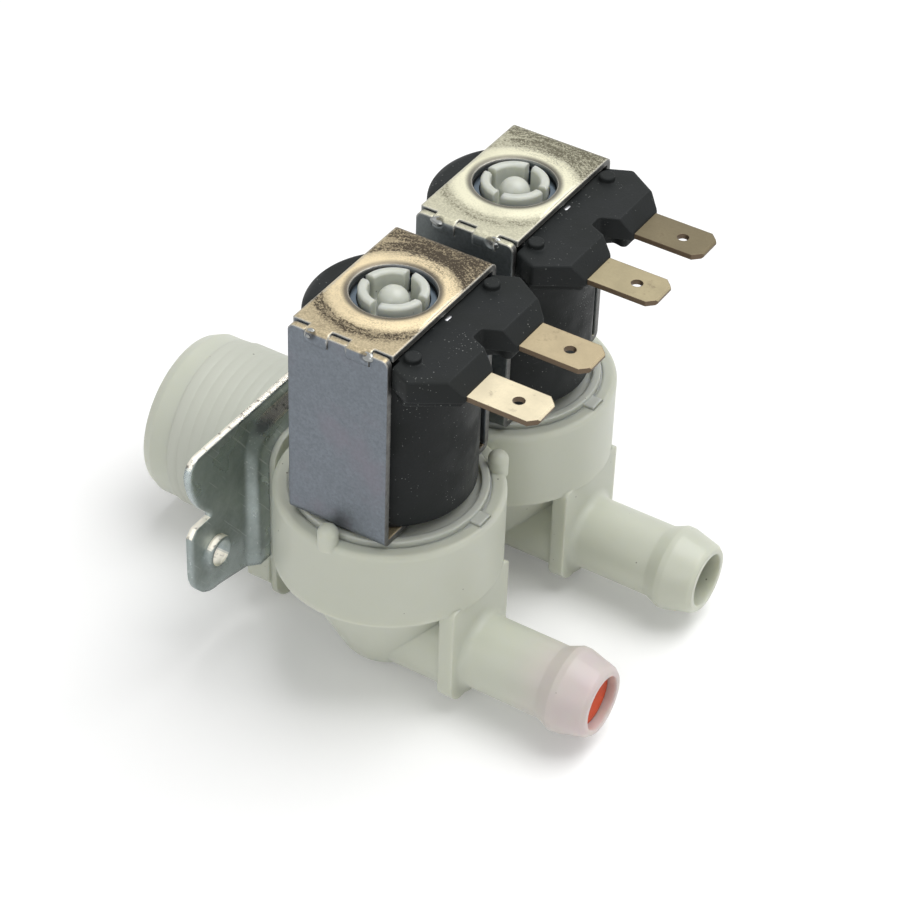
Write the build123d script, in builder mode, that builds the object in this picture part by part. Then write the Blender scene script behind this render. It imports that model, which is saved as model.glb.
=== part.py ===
"""Double water inlet solenoid valve for a washing machine.

Millimetres, +Z up. The origin is on the axis of the inlet, at the inner end of
its thread. The inlet points to -X, the two hose outlets and the terminals to
+X, and the two valves stand side by side along Y.
"""
from math import acos, atan2, cos, hypot, radians, sin
import os

from build123d import *

os.makedirs("parts", exist_ok=True)

# Layout of the two valves
valve_pitch = 31.6
valve_from_flange = 20.3
valve_ys = [-valve_pitch / 2, valve_pitch / 2]

# Threaded inlet, G 3/4 outside thread at its crest size, and its neck at the flange
inlet_radius = 13.2
thread_length = 22.4
inlet_lead_length = 1.6
inlet_lead_radius = 12.5
neck_length = 4.1
neck_radius = 12.7
inlet_bore_radius = 10.4
inlet_chamber_wall = 2.0

# Back flange and the ledges that carry the bracket's legs
flange_thickness = 1.0
flange_overhang = 0.9
flange_top = 16.4
flange_bottom = -14.3
flange_corner = 4.0
rib_thickness = 1.8
rib_inset = 2.4
rib_root = 6.0
ledge_reach = 3.9
ledge_width = 5.0
ledge_height = 5.8
ledge_root = 0.5
ledge_corner = 1.2

# Cups that hold the armature guides
cup_radius = 16.7
cup_wall = 2.15
cup_rim_z = 18.4
cup_skirt_z = 5.5
rim_round = 0.9
post_radius = 1.5
post_height = 3.0
post_rise = 1.3
post_inset = 0.95
post_angles = [(-90.0, 45.0), (90.0,)]
key_width = 2.6
key_depth = 1.25
key_clearance = 0.15
key_root = 1.0

# Bowls and hose outlets
outlet_z = -5.8
outlet_radius = 5.65
outlet_bore_radius = 4.2
bowl_ball_radius = 8.1
bowl_top_radius = 14.7
bowl_root = 1.0
plate_x = 13.4
plate_thickness = 2.4
plate_half_width = 7.5
plate_top = 6.1
plate_bottom = -11.8
plate_top_corner = 1.0
plate_corner = 3.4
outlet_root_round = 1.3
barb_start_x = 28.6
barb_crest_x = 30.7
barb_crest_radius = 6.55
barb_crest_round = 0.3
barb_land = 1.0
barb_lead = 0.6
barb_lead_drop = 0.15
outlet_end_x = 36.4
barb_end_radius = 5.35
outlet_lip_drop = 0.35
regulator_seat_depth = 4.9
regulator_seat_step = 0.55

# Valve seat and its chamber
shelf_z = 11.1
seat_z = 9.6
seat_wall = 1.6
chamber_floor_z = 2.2
chamber_floor_radius = 9.4
chamber_top_radius = 12.3

# Rubber diaphragm and its plate
bead_thickness = 1.0
bead_width = 1.5
bead_slope = 0.5
bead_step = 0.2
membrane_flat_margin = 0.5
membrane_thickness = 0.8
membrane_hole_radius = 3.0
plate_disc_radius = 8.0
plate_disc_thickness = 1.1
plate_disc_edge = 0.3
pilot_radius = 2.2
pilot_taper = 0.5
pilot_height = 2.0
stem_length = 5.0
fin_thickness = 1.0
stem_clearance = 0.2
fin_clearance = 0.3
pilot_hole_radius = 0.45

# Armature guide
guide_clearance = 0.35
guide_foot_width = 1.9
guide_rim_width = 1.15
guide_disc_thickness = 1.6
guide_disc_drop = 0.9
tube_radius = 4.9
tube_wall = 0.95
tube_cap = 2.2
crown_inner_radius = 3.55
crown_slot = 1.1
crown_height = 3.8
nub_radius = 2.2
nub_rise = 1.7
crown_above_top = 0.55
crown_round = 0.3
key_proud = 0.3

# Yoke, one folded strip
yoke_top = 51.7
yoke_bottom = 19.2
yoke_sheet = 1.0
yoke_half_x = 7.9
yoke_half_y = 13.6
yoke_bend = 1.2
yoke_hole_radius = 6.1
joint_gap = 0.1
joint_root_gap = 0.3
finger_edges = [-5.1, -1.6, 1.4, 5.0]
finger_drop = 2.0
finger_proud = 0.25
finger_round = 1.1
tongue_drop = 0.3
tongue_corner = 1.0

# Coil and its terminal housing
coil_radius = 12.45
coil_top_round = 1.8
coil_bottom_round = 0.6
bore_clearance = 0.1
housing_root_x = 5.0
housing_half_width = 14.4
housing_face_x = 15.8
housing_nose_x = 17.8
housing_side_x = 8.6
housing_depth = 5.2
housing_slab = 3.4
housing_step = 1.2
housing_drop = 1.5
housing_chamfer = 2.8
housing_corner = 0.7
housing_edge = 0.45
housing_shoulder = 1.6
nose_margin = 0.4
notch_outer = 2.3
notch_inner = 1.1
notch_depth = 2.6
bevel_height = 2.5
peg_radius = 1.2
peg_height = 0.9
peg_x = 9.45
peg_y = 9.95
bobbin_wall = 0.9
bobbin_flange = 0.9
coil_end_wall = 1.6
coil_side_wall = 1.2
housing_gap = 0.2
peg_round = 0.25
winding_clearance = 0.15

# Blade terminals, 6.3 x 0.8
blade_width = 6.3
blade_bevel_share = 0.3
blade_thickness = 0.8
blade_pitch = 13.3
blade_top_drop = 3.95
blade_tip_x = 28.2
blade_inner_x = 12.9
blade_corner = 1.3
blade_hole_radius = 0.85
blade_hole_back = 4.35

# Flux sleeves inside the bobbin
sleeve_wall = 0.85
sleeve_fit = 0.15
upper_sleeve_length = 11.8
lower_sleeve_length = 12.0
sleeve_below_top = 1.2

# Plunger, its seal and its spring
plunger_clearance = 0.3
plunger_stroke = 2.5
plunger_stop_gap = 0.15
plunger_recess_radius = 2.75
plunger_recess_depth = 7.0
plunger_edge = 0.3
seal_radius = 2.7
seal_thickness = 1.6
seal_recess = 1.0
spring_radius = 2.2
spring_wire = 0.5
spring_turns = 5
spring_end_gap = 0.05

# Zinc-plated bracket
bracket_sheet = 1.0
bracket_joggle = 1.5
bracket_ramp = 1.6
bracket_half_width = 33.9
bracket_top = 23.2
bracket_ear_bottom = -3.3
bracket_leg_bottom = -4.9
bracket_u_clearance = 0.15
bracket_corner = 2.6
ear_corner = 6.2
seat_half_width = 19.2
seat_top = 19.4
seat_corner = 5.2
notch_depth_y = 4.7
notch_z = 11.4
notch_height = 0.7
notch_lobe_bulge = 0.65
notch_lobe_lead = 0.9
lobe_corner = 1.1
screw_inset = 5.6
screw_z = 3.8
screw_hole_radius = 2.1
collar_lip_share = 0.7
collar_radius = 2.65
collar_height = 1.1

# Inlet strainer and outlet flow regulator
strainer_rim_radius = 10.2
strainer_rim_thickness = 1.2
strainer_setback = 1.5
strainer_mouth_radius = 8.6
strainer_tip_radius = 6.2
strainer_length = 15.0
strainer_wall = 0.9
strainer_slots = 10
strainer_slot_width = 2.2
strainer_web = 2.4
size_slack = 0.01
cut_margin = 1.0
regulator_radius = 4.1
regulator_thickness = 3.4
regulator_hole = 1.4
regulator_dish = 0.9
regulator_lip = 0.6

# Places, heights and radii that follow from the sizes above
flange_x = neck_length
valve_x = flange_x + valve_from_flange
cup_inner_radius = cup_radius - cup_wall
guide_radius = cup_inner_radius - guide_clearance
guide_ring_radius = guide_radius - guide_foot_width
bead_inner_radius = guide_radius - bead_width
guide_top = yoke_bottom
guide_bottom = shelf_z + bead_thickness
guide_disc_top = guide_top - guide_disc_drop
guide_disc_bottom = guide_disc_top - guide_disc_thickness
tube_bore = tube_radius - tube_wall
crown_top = yoke_top + crown_above_top
tube_top = crown_top - crown_height
sleeve_inner = tube_radius + sleeve_fit
sleeve_outer = sleeve_inner + sleeve_wall
coil_bore = sleeve_outer + bore_clearance
coil_bottom = yoke_bottom + yoke_sheet
coil_top = yoke_top - yoke_sheet
housing_top = yoke_top - housing_drop
winding_space_bottom = coil_bottom + coil_end_wall
winding_space_top = coil_top - coil_end_wall
winding_space_radius = coil_radius - coil_side_wall
blade_z = yoke_top - blade_top_drop - blade_thickness / 2
membrane_bottom = seat_z
membrane_top = membrane_bottom + membrane_thickness
disc_top = membrane_top + plate_disc_thickness
pilot_top = disc_top + pilot_height
seal_bottom = pilot_top
seal_top = seal_bottom + seal_thickness
plunger_bottom = seal_top - seal_recess
spring_top = tube_top - tube_cap
plunger_top = spring_top - plunger_stroke - plunger_stop_gap
recess_floor = plunger_top - plunger_recess_depth
spring_bottom = recess_floor
seat_outer_radius = outlet_bore_radius + seat_wall
screw_y = bracket_half_width - screw_inset
outlet_end = valve_x + outlet_end_x


def across_x(x, y=0.0, z=0.0):
    """Plane across the X axis at x: local x runs along +Y and local y along +Z."""
    return Plane(origin=(x, y, z), x_dir=(0, 1, 0), z_dir=(1, 0, 0))


def upright(y, x=valve_x):
    """Plane in X and Z through a valve's axis, for profiles that are turned about it."""
    return Plane(origin=(x, y, 0), x_dir=(1, 0, 0), z_dir=(0, -1, 0))


def level(z, y, x=valve_x):
    """Level plane at height z, centred on a valve's axis."""
    return Plane(origin=(x, y, z))


def save(piece, label):
    piece.part.label = label
    export_step(piece.part, f"parts/{label}.step")


def bowl_profile():
    """Outer half section of a bowl: a cone that runs into a ball without an edge."""
    drop = cup_skirt_z - outlet_z
    reach = hypot(bowl_top_radius, drop)
    lean = atan2(drop, bowl_top_radius)
    touch = lean - acos(bowl_ball_radius / reach)
    touch_x = bowl_ball_radius * cos(touch)
    touch_z = outlet_z + bowl_ball_radius * sin(touch)
    middle = (touch - radians(90)) / 2
    mid_x = bowl_ball_radius * cos(middle)
    mid_z = outlet_z + bowl_ball_radius * sin(middle)
    root_z = cup_skirt_z + bowl_root
    bottom = (0, outlet_z - bowl_ball_radius)
    with BuildLine() as outline:
        Polyline(
            bottom,
            (0, root_z),
            (bowl_top_radius, root_z),
            (bowl_top_radius, cup_skirt_z),
            (touch_x, touch_z),
        )
        ThreePointArc((touch_x, touch_z), (mid_x, mid_z), bottom)
    return outline.line


def outlet_profile():
    """Outer half section of a hose outlet: pipe, rounded root at the plate, and barb."""
    root_x = plate_x + plate_thickness
    low = outlet_z + outlet_radius
    bend = outlet_root_round * (1 - sin(radians(45)))
    crest = outlet_z + barb_crest_radius
    with BuildLine() as outline:
        Polyline((root_x, low + outlet_root_round), (0, low + outlet_root_round), (0, outlet_z))
        Polyline(
            (0, outlet_z),
            (outlet_end_x, outlet_z),
            (outlet_end_x, outlet_z + barb_end_radius - outlet_lip_drop),
            (outlet_end_x - barb_lead, outlet_z + barb_end_radius + barb_lead_drop),
            (barb_crest_x + barb_land, crest),
            (barb_crest_x, crest),
            (barb_crest_x - barb_crest_round, crest - barb_lead_drop),
            (barb_start_x, low),
            (root_x + outlet_root_round, low),
        )
        ThreePointArc(
            (root_x + outlet_root_round, low),
            (root_x + bend, low + bend),
            (root_x, low + outlet_root_round),
        )
    return outline.line


def turned(points, y, x=valve_x, mode=Mode.ADD):
    """Turn a half section, given as (radius, height) points, about an upright axis."""
    with BuildSketch(upright(y, x)) as section:
        with BuildLine():
            Polyline(*points, close=True)
        make_face()
    revolve(section.sketch, axis=Axis((x, y, 0), (0, 0, 1)), mode=mode)


def domed_pin(radius, rise, foot, top, y, x=valve_x):
    """Round pin whose end is a dome of the given rise."""
    ball = (radius**2 + rise**2) / (2 * rise)
    lean = atan2(radius, ball - rise) / 2
    middle = (ball * sin(lean), top - ball + ball * cos(lean))
    with BuildSketch(upright(y, x)) as section:
        with BuildLine():
            Polyline((0, top), (0, foot), (radius, foot), (radius, top - rise))
            ThreePointArc((radius, top - rise), middle, (0, top))
        make_face()
    revolve(section.sketch, axis=Axis((x, y, 0), (0, 0, 1)))


# Valve body, one moulding
with BuildPart() as valve_body:
    # back flange
    flange_half = valve_pitch / 2 + flange_overhang
    with BuildSketch(across_x(flange_x, z=(flange_top + flange_bottom) / 2)):
        RectangleRounded(2 * flange_half, flange_top - flange_bottom, flange_corner)
    extrude(amount=flange_thickness)

    # inlet: lead-in, thread at its crest size, neck, and the chamber that feeds both valves
    chamber_end = valve_x - inlet_chamber_wall
    with BuildSketch(Plane.XY):
        with BuildLine():
            Polyline(
                (-thread_length, 0),
                (-thread_length, inlet_lead_radius),
                (-thread_length + inlet_lead_length, inlet_radius),
                (0, inlet_radius),
                (0, neck_radius),
                (flange_x + flange_thickness / 2, neck_radius),
                (flange_x + flange_thickness / 2, inlet_radius),
                (chamber_end, inlet_radius),
                (chamber_end, 0),
                close=True,
            )
        make_face()
    revolve(axis=Axis.X)

    # ribs that tie the flange to the cups
    rib_top = flange_top - flange_corner
    rib_end = valve_x - cup_radius + rib_root
    for rib_y in (-flange_half + rib_inset, 0.0, flange_half - rib_inset):
        with BuildSketch(Plane.XZ.offset(-rib_y)):
            with BuildLine():
                Polyline(
                    (flange_x, rib_top),
                    (rib_end, rib_top),
                    (rib_end, 0),
                    (flange_x, 0),
                    close=True,
                )
            make_face()
        extrude(amount=rib_thickness / 2, both=True)

    for y in valve_ys:
        # bowl
        with BuildSketch(upright(y)):
            with BuildLine():
                add(bowl_profile())
            make_face()
        revolve(axis=Axis((valve_x, y, 0), (0, 0, 1)))

    for y in valve_ys:
        # cup with its skirt and rounded rim
        with BuildSketch(upright(y)) as cup:
            with BuildLine():
                Polyline(
                    (0, cup_skirt_z),
                    (cup_radius, cup_skirt_z),
                    (cup_radius, cup_rim_z),
                    (0, cup_rim_z),
                    close=True,
                )
            make_face()
            fillet(cup.vertices().sort_by(Axis.Y)[-2:].sort_by(Axis.X)[-1], radius=rim_round)
        revolve(axis=Axis((valve_x, y, 0), (0, 0, 1)))

    for y in valve_ys:
        # outlet pipe with its hose barb, and the square plate
        with BuildSketch(upright(y)):
            with BuildLine():
                add(outlet_profile())
            make_face()
        revolve(axis=Axis((valve_x, y, outlet_z), (1, 0, 0)))
        plate_middle = (plate_top + plate_bottom) / 2
        with BuildSketch(across_x(valve_x + plate_x, y, plate_middle)) as plate:
            Rectangle(2 * plate_half_width, plate_top - plate_bottom)
            fillet(plate.vertices().sort_by(Axis.Y)[:2], radius=plate_corner)
            fillet(plate.vertices().sort_by(Axis.Y)[-2:], radius=plate_top_corner)
        extrude(amount=plate_thickness)

    for y, angles in zip(valve_ys, post_angles):
        # locking posts on the rim
        for angle in angles:
            along = cup_radius - post_inset
            post_x = valve_x + along * cos(radians(angle))
            post_y = y + along * sin(radians(angle))
            post_top = cup_rim_z + post_height
            domed_pin(post_radius, post_rise, cup_rim_z - rim_round, post_top, post_y, post_x)

    # ledges under the bracket's legs
    ledge_top = bracket_leg_bottom
    for side in (-1, 1):
        ledge_y = side * (neck_radius + ledge_width / 2 - ledge_root)
        with BuildSketch(across_x(flange_x, ledge_y, ledge_top - ledge_height / 2)):
            RectangleRounded(ledge_width, ledge_height, ledge_corner)
        extrude(amount=-ledge_reach)

    # hollow cups, ring-shaped inlet chambers and the seats
    for y in valve_ys:
        with BuildSketch(level(shelf_z, y)):
            Circle(cup_inner_radius)
        extrude(amount=cup_rim_z - shelf_z, mode=Mode.SUBTRACT)
        turned(
            [
                (seat_outer_radius, chamber_floor_z),
                (chamber_floor_radius, chamber_floor_z),
                (chamber_top_radius, shelf_z),
                (0, shelf_z),
                (0, seat_z),
                (seat_outer_radius, seat_z),
            ],
            y,
            mode=Mode.SUBTRACT,
        )
        with BuildSketch(level(outlet_z, y)):
            Circle(outlet_bore_radius)
        extrude(amount=seat_z - outlet_z, mode=Mode.SUBTRACT)
        with BuildSketch(across_x(valve_x, y, outlet_z)):
            Circle(outlet_bore_radius - regulator_seat_step)
        extrude(amount=outlet_end_x, mode=Mode.SUBTRACT)
        with BuildSketch(across_x(outlet_end - regulator_seat_depth, y, outlet_z)):
            Circle(outlet_bore_radius)
        extrude(amount=regulator_seat_depth, mode=Mode.SUBTRACT)

        # keyway for the armature guide
        with BuildSketch(level(guide_disc_bottom, y)):
            with Locations((cup_inner_radius - key_root, 0)):
                Rectangle(
                    key_root + key_depth + key_clearance,
                    key_width + 2 * key_clearance,
                    align=(Align.MIN, Align.CENTER),
                )
        extrude(amount=guide_top - guide_disc_bottom, mode=Mode.SUBTRACT)

    # water way of the inlet
    with BuildSketch(across_x(-thread_length)):
        Circle(inlet_bore_radius)
    extrude(amount=thread_length + chamber_end - inlet_chamber_wall, mode=Mode.SUBTRACT)
save(valve_body, "valve_body")


# Mounting bracket, bent from sheet: a raised seat behind the flange, two ears
def ear_outline(side):
    """Outline of the sheet on one side of the inlet, from the middle of its top edge."""
    half = bracket_half_width
    leg = neck_radius + bracket_u_clearance
    ear_low_y = seat_half_width + bracket_ramp
    apex_y = half - notch_depth_y
    lobe_foot = (apex_y + notch_lobe_lead, notch_z + notch_lobe_lead)
    lobe_top = (half, bracket_top - bracket_corner)
    lobe_mid = (
        (lobe_foot[0] + lobe_top[0]) / 2 + notch_lobe_bulge,
        (lobe_foot[1] + lobe_top[1]) / 2 - notch_lobe_bulge,
    )
    corner_top = bracket_ear_bottom + ear_corner
    slant = radians(45)
    near = 1 - cos(slant)

    def turn(y, z):
        return (side * y, z)

    with BuildLine() as outline:
        Line((0, bracket_top), turn(half - bracket_corner, bracket_top))
        ThreePointArc(
            turn(half - bracket_corner, bracket_top),
            turn(half - bracket_corner * near, bracket_top - bracket_corner * near),
            turn(*lobe_top),
        )
        ThreePointArc(turn(*lobe_top), turn(*lobe_mid), turn(*lobe_foot))
        Polyline(
            turn(*lobe_foot),
            turn(apex_y, notch_z),
            turn(apex_y, notch_z - notch_height),
            turn(half - lobe_corner, notch_z - notch_height),
            turn(half, notch_z - notch_height - lobe_corner),
            turn(half, corner_top),
        )
        ThreePointArc(
            turn(half, corner_top),
            turn(half - ear_corner * near, bracket_ear_bottom + ear_corner * near),
            turn(half - ear_corner, bracket_ear_bottom),
        )
        Polyline(
            turn(half - ear_corner, bracket_ear_bottom),
            turn(ear_low_y, bracket_leg_bottom),
            turn(leg, bracket_leg_bottom),
            turn(leg, 0),
        )
        ThreePointArc(turn(leg, 0), turn(leg * cos(slant), leg * sin(slant)), (0, leg))
        Line((0, leg), (0, bracket_top))
    return outline.line


def seat_step(grow, x):
    """Outline of the raised seat at one depth; it runs out past the leg ends."""
    run_out = 3 * seat_corner
    height = seat_top + grow - bracket_leg_bottom + run_out
    with BuildSketch(across_x(x, z=seat_top + grow - height / 2)) as step:
        RectangleRounded(2 * (seat_half_width + grow), height, seat_corner)
    return step.sketch


with BuildPart() as mounting_bracket:
    ear_back = flange_x - bracket_sheet - bracket_joggle
    ear_front = ear_back + bracket_sheet
    with BuildSketch(across_x(ear_back)):
        for side in (-1, 1):
            with BuildLine():
                add(ear_outline(side))
            make_face()
    extrude(amount=bracket_sheet)
    loft([seat_step(bracket_ramp, ear_front), seat_step(0, flange_x)])
    seat_back = flange_x - bracket_sheet
    loft([seat_step(bracket_ramp, ear_back), seat_step(0, seat_back)], mode=Mode.SUBTRACT)
    with BuildSketch(across_x(ear_back)):
        for side in (-1, 1):
            with BuildLine():
                add(ear_outline(side))
            make_face()
    extrude(amount=bracket_sheet + bracket_joggle, mode=Mode.INTERSECT)
    for side in (-1, 1):
        with BuildSketch(across_x(ear_back + bracket_sheet / 2, side * screw_y, screw_z)):
            Circle(collar_radius)
        extrude(amount=bracket_sheet / 2 + collar_height)
        lip = mounting_bracket.edges().filter_by(GeomType.CIRCLE)
        lip = lip.filter_by(lambda e: abs(e.radius - collar_radius) < size_slack)
        lip = lip.filter_by(lambda e: e.arc_center.Y * side > 0).sort_by(Axis.X)[-1]
        fillet(lip, radius=(collar_radius - screw_hole_radius) * collar_lip_share)
        with BuildSketch(across_x(ear_back, side * screw_y, screw_z)):
            Circle(screw_hole_radius)
        extrude(amount=bracket_sheet + collar_height, mode=Mode.SUBTRACT)
save(mounting_bracket, "mounting_bracket")


# Inlet strainer, a slotted basket behind a rim
with BuildPart() as inlet_strainer:
    rim_x = -thread_length + strainer_setback
    with BuildSketch(Plane.XZ):
        with BuildLine():
            Polyline(
                (rim_x, strainer_mouth_radius - strainer_wall),
                (rim_x, strainer_rim_radius),
                (rim_x + strainer_rim_thickness, strainer_rim_radius),
                (rim_x + strainer_rim_thickness, strainer_mouth_radius),
                (rim_x + strainer_length, strainer_tip_radius),
                (rim_x + strainer_length, 0),
                (rim_x + strainer_length - strainer_wall, 0),
                (rim_x + strainer_length - strainer_wall, strainer_tip_radius - strainer_wall),
                close=True,
            )
        make_face()
    revolve(axis=Axis.X)
    slot_length = strainer_length - strainer_rim_thickness - 2 * strainer_web
    slot_x = rim_x + strainer_rim_thickness + strainer_web + slot_length / 2
    for turn in range(strainer_slots):
        slot_plane = Plane.XY.rotated((360 * turn / strainer_slots, 0, 0))
        with BuildSketch(slot_plane):
            with Locations((slot_x, 0)):
                Rectangle(slot_length, strainer_slot_width)
        extrude(amount=strainer_mouth_radius + cut_margin, mode=Mode.SUBTRACT)
save(inlet_strainer, "inlet_strainer")


# Flow regulator, a dished rubber washer in the near outlet
with BuildPart() as flow_regulator:
    seat_x = outlet_end - regulator_seat_depth
    with BuildSketch(Plane(origin=(seat_x, valve_ys[0], outlet_z), x_dir=(1, 0, 0), z_dir=(0, -1, 0))):
        with BuildLine():
            Polyline(
                (0, regulator_hole),
                (0, regulator_radius),
                (regulator_thickness, regulator_radius),
                (regulator_thickness, regulator_radius - regulator_lip),
                (regulator_thickness - regulator_dish, regulator_hole),
                close=True,
            )
        make_face()
    revolve(axis=Axis((seat_x, valve_ys[0], outlet_z), (1, 0, 0)))
save(flow_regulator, "flow_regulator")


def joint_block(y, span_x, span_y, low, high, mode=Mode.ADD):
    """Upright block of the yoke's finger joint, placed from its valve's axis."""
    with BuildSketch(level(low, y)) as block:
        with Locations((span_x[0], span_y[0])):
            Rectangle(
                span_x[1] - span_x[0],
                span_y[1] - span_y[0],
                align=(Align.MIN, Align.MIN),
            )
    extrude(block.sketch, amount=high - low, mode=mode)


def make_yoke(y):
    """One strip folded to a closed rectangle, its ends locked by fingers at the top front edge."""
    height = yoke_top - yoke_bottom
    middle = (yoke_top + yoke_bottom) / 2
    front_y = -yoke_half_y
    inner_y = front_y + yoke_sheet
    side = across_x(valve_x - yoke_half_x, y, middle)
    with BuildPart() as yoke:
        with BuildSketch(side) as loop:
            Rectangle(2 * yoke_half_y, height)
            bends = loop.vertices().sort_by(lambda v: v.X - v.Y)[1:]
            fillet(bends, radius=yoke_bend)
            with BuildSketch(mode=Mode.SUBTRACT) as window:
                Rectangle(2 * (yoke_half_y - yoke_sheet), height - 2 * yoke_sheet)
                bends = window.vertices().sort_by(lambda v: v.X - v.Y)[1:]
                fillet(bends, radius=yoke_bend - yoke_sheet)
        extrude(amount=2 * yoke_half_x)
        with BuildSketch(level(yoke_bottom, y)):
            Circle(yoke_hole_radius)
        extrude(amount=height, mode=Mode.SUBTRACT)

        # top front edge: tongues of the front leg between fingers of the top plate
        with BuildSketch(level(coil_top, y)):
            with Locations((0, front_y)):
                Rectangle(
                    2 * yoke_half_x,
                    yoke_sheet + joint_root_gap,
                    align=(Align.CENTER, Align.MIN),
                )
        extrude(amount=yoke_sheet, mode=Mode.SUBTRACT)
        ends = [-yoke_half_x, *finger_edges, yoke_half_x]
        finger_foot = yoke_top - finger_drop
        for left, right in zip(finger_edges[::2], finger_edges[1::2]):
            slot = (left - joint_gap, right + joint_gap)
            joint_block(y, slot, (front_y, inner_y), finger_foot - joint_gap, coil_top, Mode.SUBTRACT)
        for left, right in zip(ends[::2], ends[1::2]):
            left_gap = joint_gap if left > -yoke_half_x else 0
            right_gap = joint_gap if right < yoke_half_x else 0
            tongue = (left + left_gap, right - right_gap)
            joint_block(y, tongue, (front_y, inner_y), coil_top, yoke_top - tongue_drop)
        for left, right in zip(finger_edges[::2], finger_edges[1::2]):
            finger = (left, right)
            tip_y = front_y - finger_proud
            joint_block(y, finger, (tip_y, inner_y), finger_foot, yoke_top)
            joint_block(y, finger, (tip_y, inner_y + joint_root_gap), coil_top, yoke_top)
        tips = yoke.edges().filter_by(Axis.X).group_by(Axis.Y)[0]
        fillet(tips.group_by(Axis.Z)[-1], radius=finger_round)
        shoulders = yoke.edges().filter_by(Axis.Y).group_by(Axis.X)
        for side_edges in (shoulders[0], shoulders[-1]):
            tongue_edge = side_edges.filter_by(
                lambda e: abs(e.center().Z - yoke_top + tongue_drop) < joint_gap
            )
            fillet(tongue_edge, radius=tongue_corner)
    return yoke


def housing_outline(half_sign, inset=0.0):
    """One half of the terminal housing seen from above, from the middle notch outwards."""
    nose_y = (blade_pitch + blade_width) / 2 + nose_margin
    nose_in = (blade_pitch - blade_width) / 2 - nose_margin
    wide = housing_half_width - inset
    face = housing_face_x - inset
    side_x = yoke_half_x + housing_gap
    slope_x = face - housing_chamfer - housing_shoulder
    points = [
        (housing_root_x, 0),
        (face - notch_depth, 0),
        (face - notch_depth, notch_inner),
        (face, notch_outer + inset),
        (housing_nose_x - inset, nose_in),
        (housing_nose_x - inset, nose_y - inset),
        (slope_x, wide),
        (side_x, wide - housing_shoulder),
        (side_x, coil_radius - housing_shoulder),
        (housing_root_x, coil_radius - housing_shoulder),
    ]
    return [(x, half_sign * y) for x, y in points]


def make_coil_housing(y):
    """Black overmould of the coil with the block that holds the two terminals."""
    core = coil_bore + bobbin_wall
    with BuildPart() as coil_housing:
        with BuildSketch(upright(y)) as shell:
            with BuildLine():
                Polyline(
                    (core, coil_bottom),
                    (coil_radius, coil_bottom),
                    (coil_radius, housing_top),
                    (core, housing_top),
                    close=True,
                )
            make_face()
            fillet(shell.vertices().group_by(Axis.Y)[-1].sort_by(Axis.X)[-1], radius=coil_top_round)
            fillet(shell.vertices().group_by(Axis.Y)[0].sort_by(Axis.X)[-1], radius=coil_bottom_round)
        revolve(axis=Axis((valve_x, y, 0), (0, 0, 1)))

        # terminal block: a slab with sloping end faces on a narrower step
        for inset, low in ((0.0, housing_slab), (housing_step, housing_depth)):
            with BuildSketch(level(housing_top - low, y)) as block:
                for half_sign in (-1, 1):
                    with BuildLine():
                        Polyline(*housing_outline(half_sign, inset), close=True)
                    make_face()
                corners = block.vertices().filter_by(lambda v: v.X > yoke_half_x + housing_step)
                fillet(corners, radius=housing_corner)
            extrude(amount=low)
        with BuildSketch(upright(y)):
            with BuildLine():
                Polyline(
                    (housing_face_x, housing_top),
                    (housing_nose_x + cut_margin, housing_top),
                    (housing_nose_x + cut_margin, housing_top - bevel_height),
                    (housing_nose_x, housing_top - bevel_height),
                    close=True,
                )
            make_face()
        extrude(amount=housing_half_width, both=True, mode=Mode.SUBTRACT)
        rim = coil_housing.faces().filter_by(Axis.Z).sort_by(Axis.Z)[-1].outer_wire().edges()
        rim = rim.filter_by(lambda e: e.center().X > valve_x + yoke_half_x + housing_step)
        ends = rim.filter_by(lambda e: abs(e.center().Y - y) > (blade_pitch + blade_width) / 2)
        fillet(ends, radius=housing_edge)
        with BuildSketch(level(housing_top, y)):
            with Locations((peg_x, -peg_y), (peg_x, peg_y)):
                Circle(peg_radius)
        extrude(amount=peg_height)
        top_rings = coil_housing.edges().filter_by(GeomType.CIRCLE).sort_by(Axis.Z)
        pegs = top_rings.filter_by(lambda e: abs(e.radius - peg_radius) < size_slack)
        fillet(pegs.group_by(Axis.Z)[-1], radius=peg_round)

        # core, winding space and the pockets of the two blades
        with BuildSketch(level(coil_bottom, y)):
            Circle(core)
        extrude(amount=housing_top - coil_bottom, mode=Mode.SUBTRACT)
        with BuildSketch(level(winding_space_bottom, y)):
            Circle(winding_space_radius)
        extrude(amount=winding_space_top - winding_space_bottom, mode=Mode.SUBTRACT)
        with BuildSketch(level(blade_z - blade_thickness / 2, y)):
            with Locations((blade_inner_x, -blade_pitch / 2), (blade_inner_x, blade_pitch / 2)):
                Rectangle(
                    blade_tip_x - blade_inner_x, blade_width, align=(Align.MIN, Align.CENTER)
                )
        extrude(amount=blade_thickness, mode=Mode.SUBTRACT)
    return coil_housing


def make_bobbin(y):
    """Bobbin: a core tube with a flange at each end of the winding space."""
    core = coil_bore + bobbin_wall
    rim = winding_space_radius
    low = winding_space_bottom
    high = winding_space_top
    with BuildPart() as bobbin:
        turned(
            [
                (coil_bore, coil_bottom),
                (core, coil_bottom),
                (core, low),
                (rim, low),
                (rim, low + bobbin_flange),
                (core, low + bobbin_flange),
                (core, high - bobbin_flange),
                (rim, high - bobbin_flange),
                (rim, high),
                (core, high),
                (core, coil_top),
                (coil_bore, coil_top),
            ],
            y,
        )
    return bobbin


def make_tube(y, inner, outer, low, high):
    """Plain tube on a valve's axis."""
    with BuildPart() as tube:
        turned([(inner, low), (outer, low), (outer, high), (inner, high)], y)
    return tube


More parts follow.
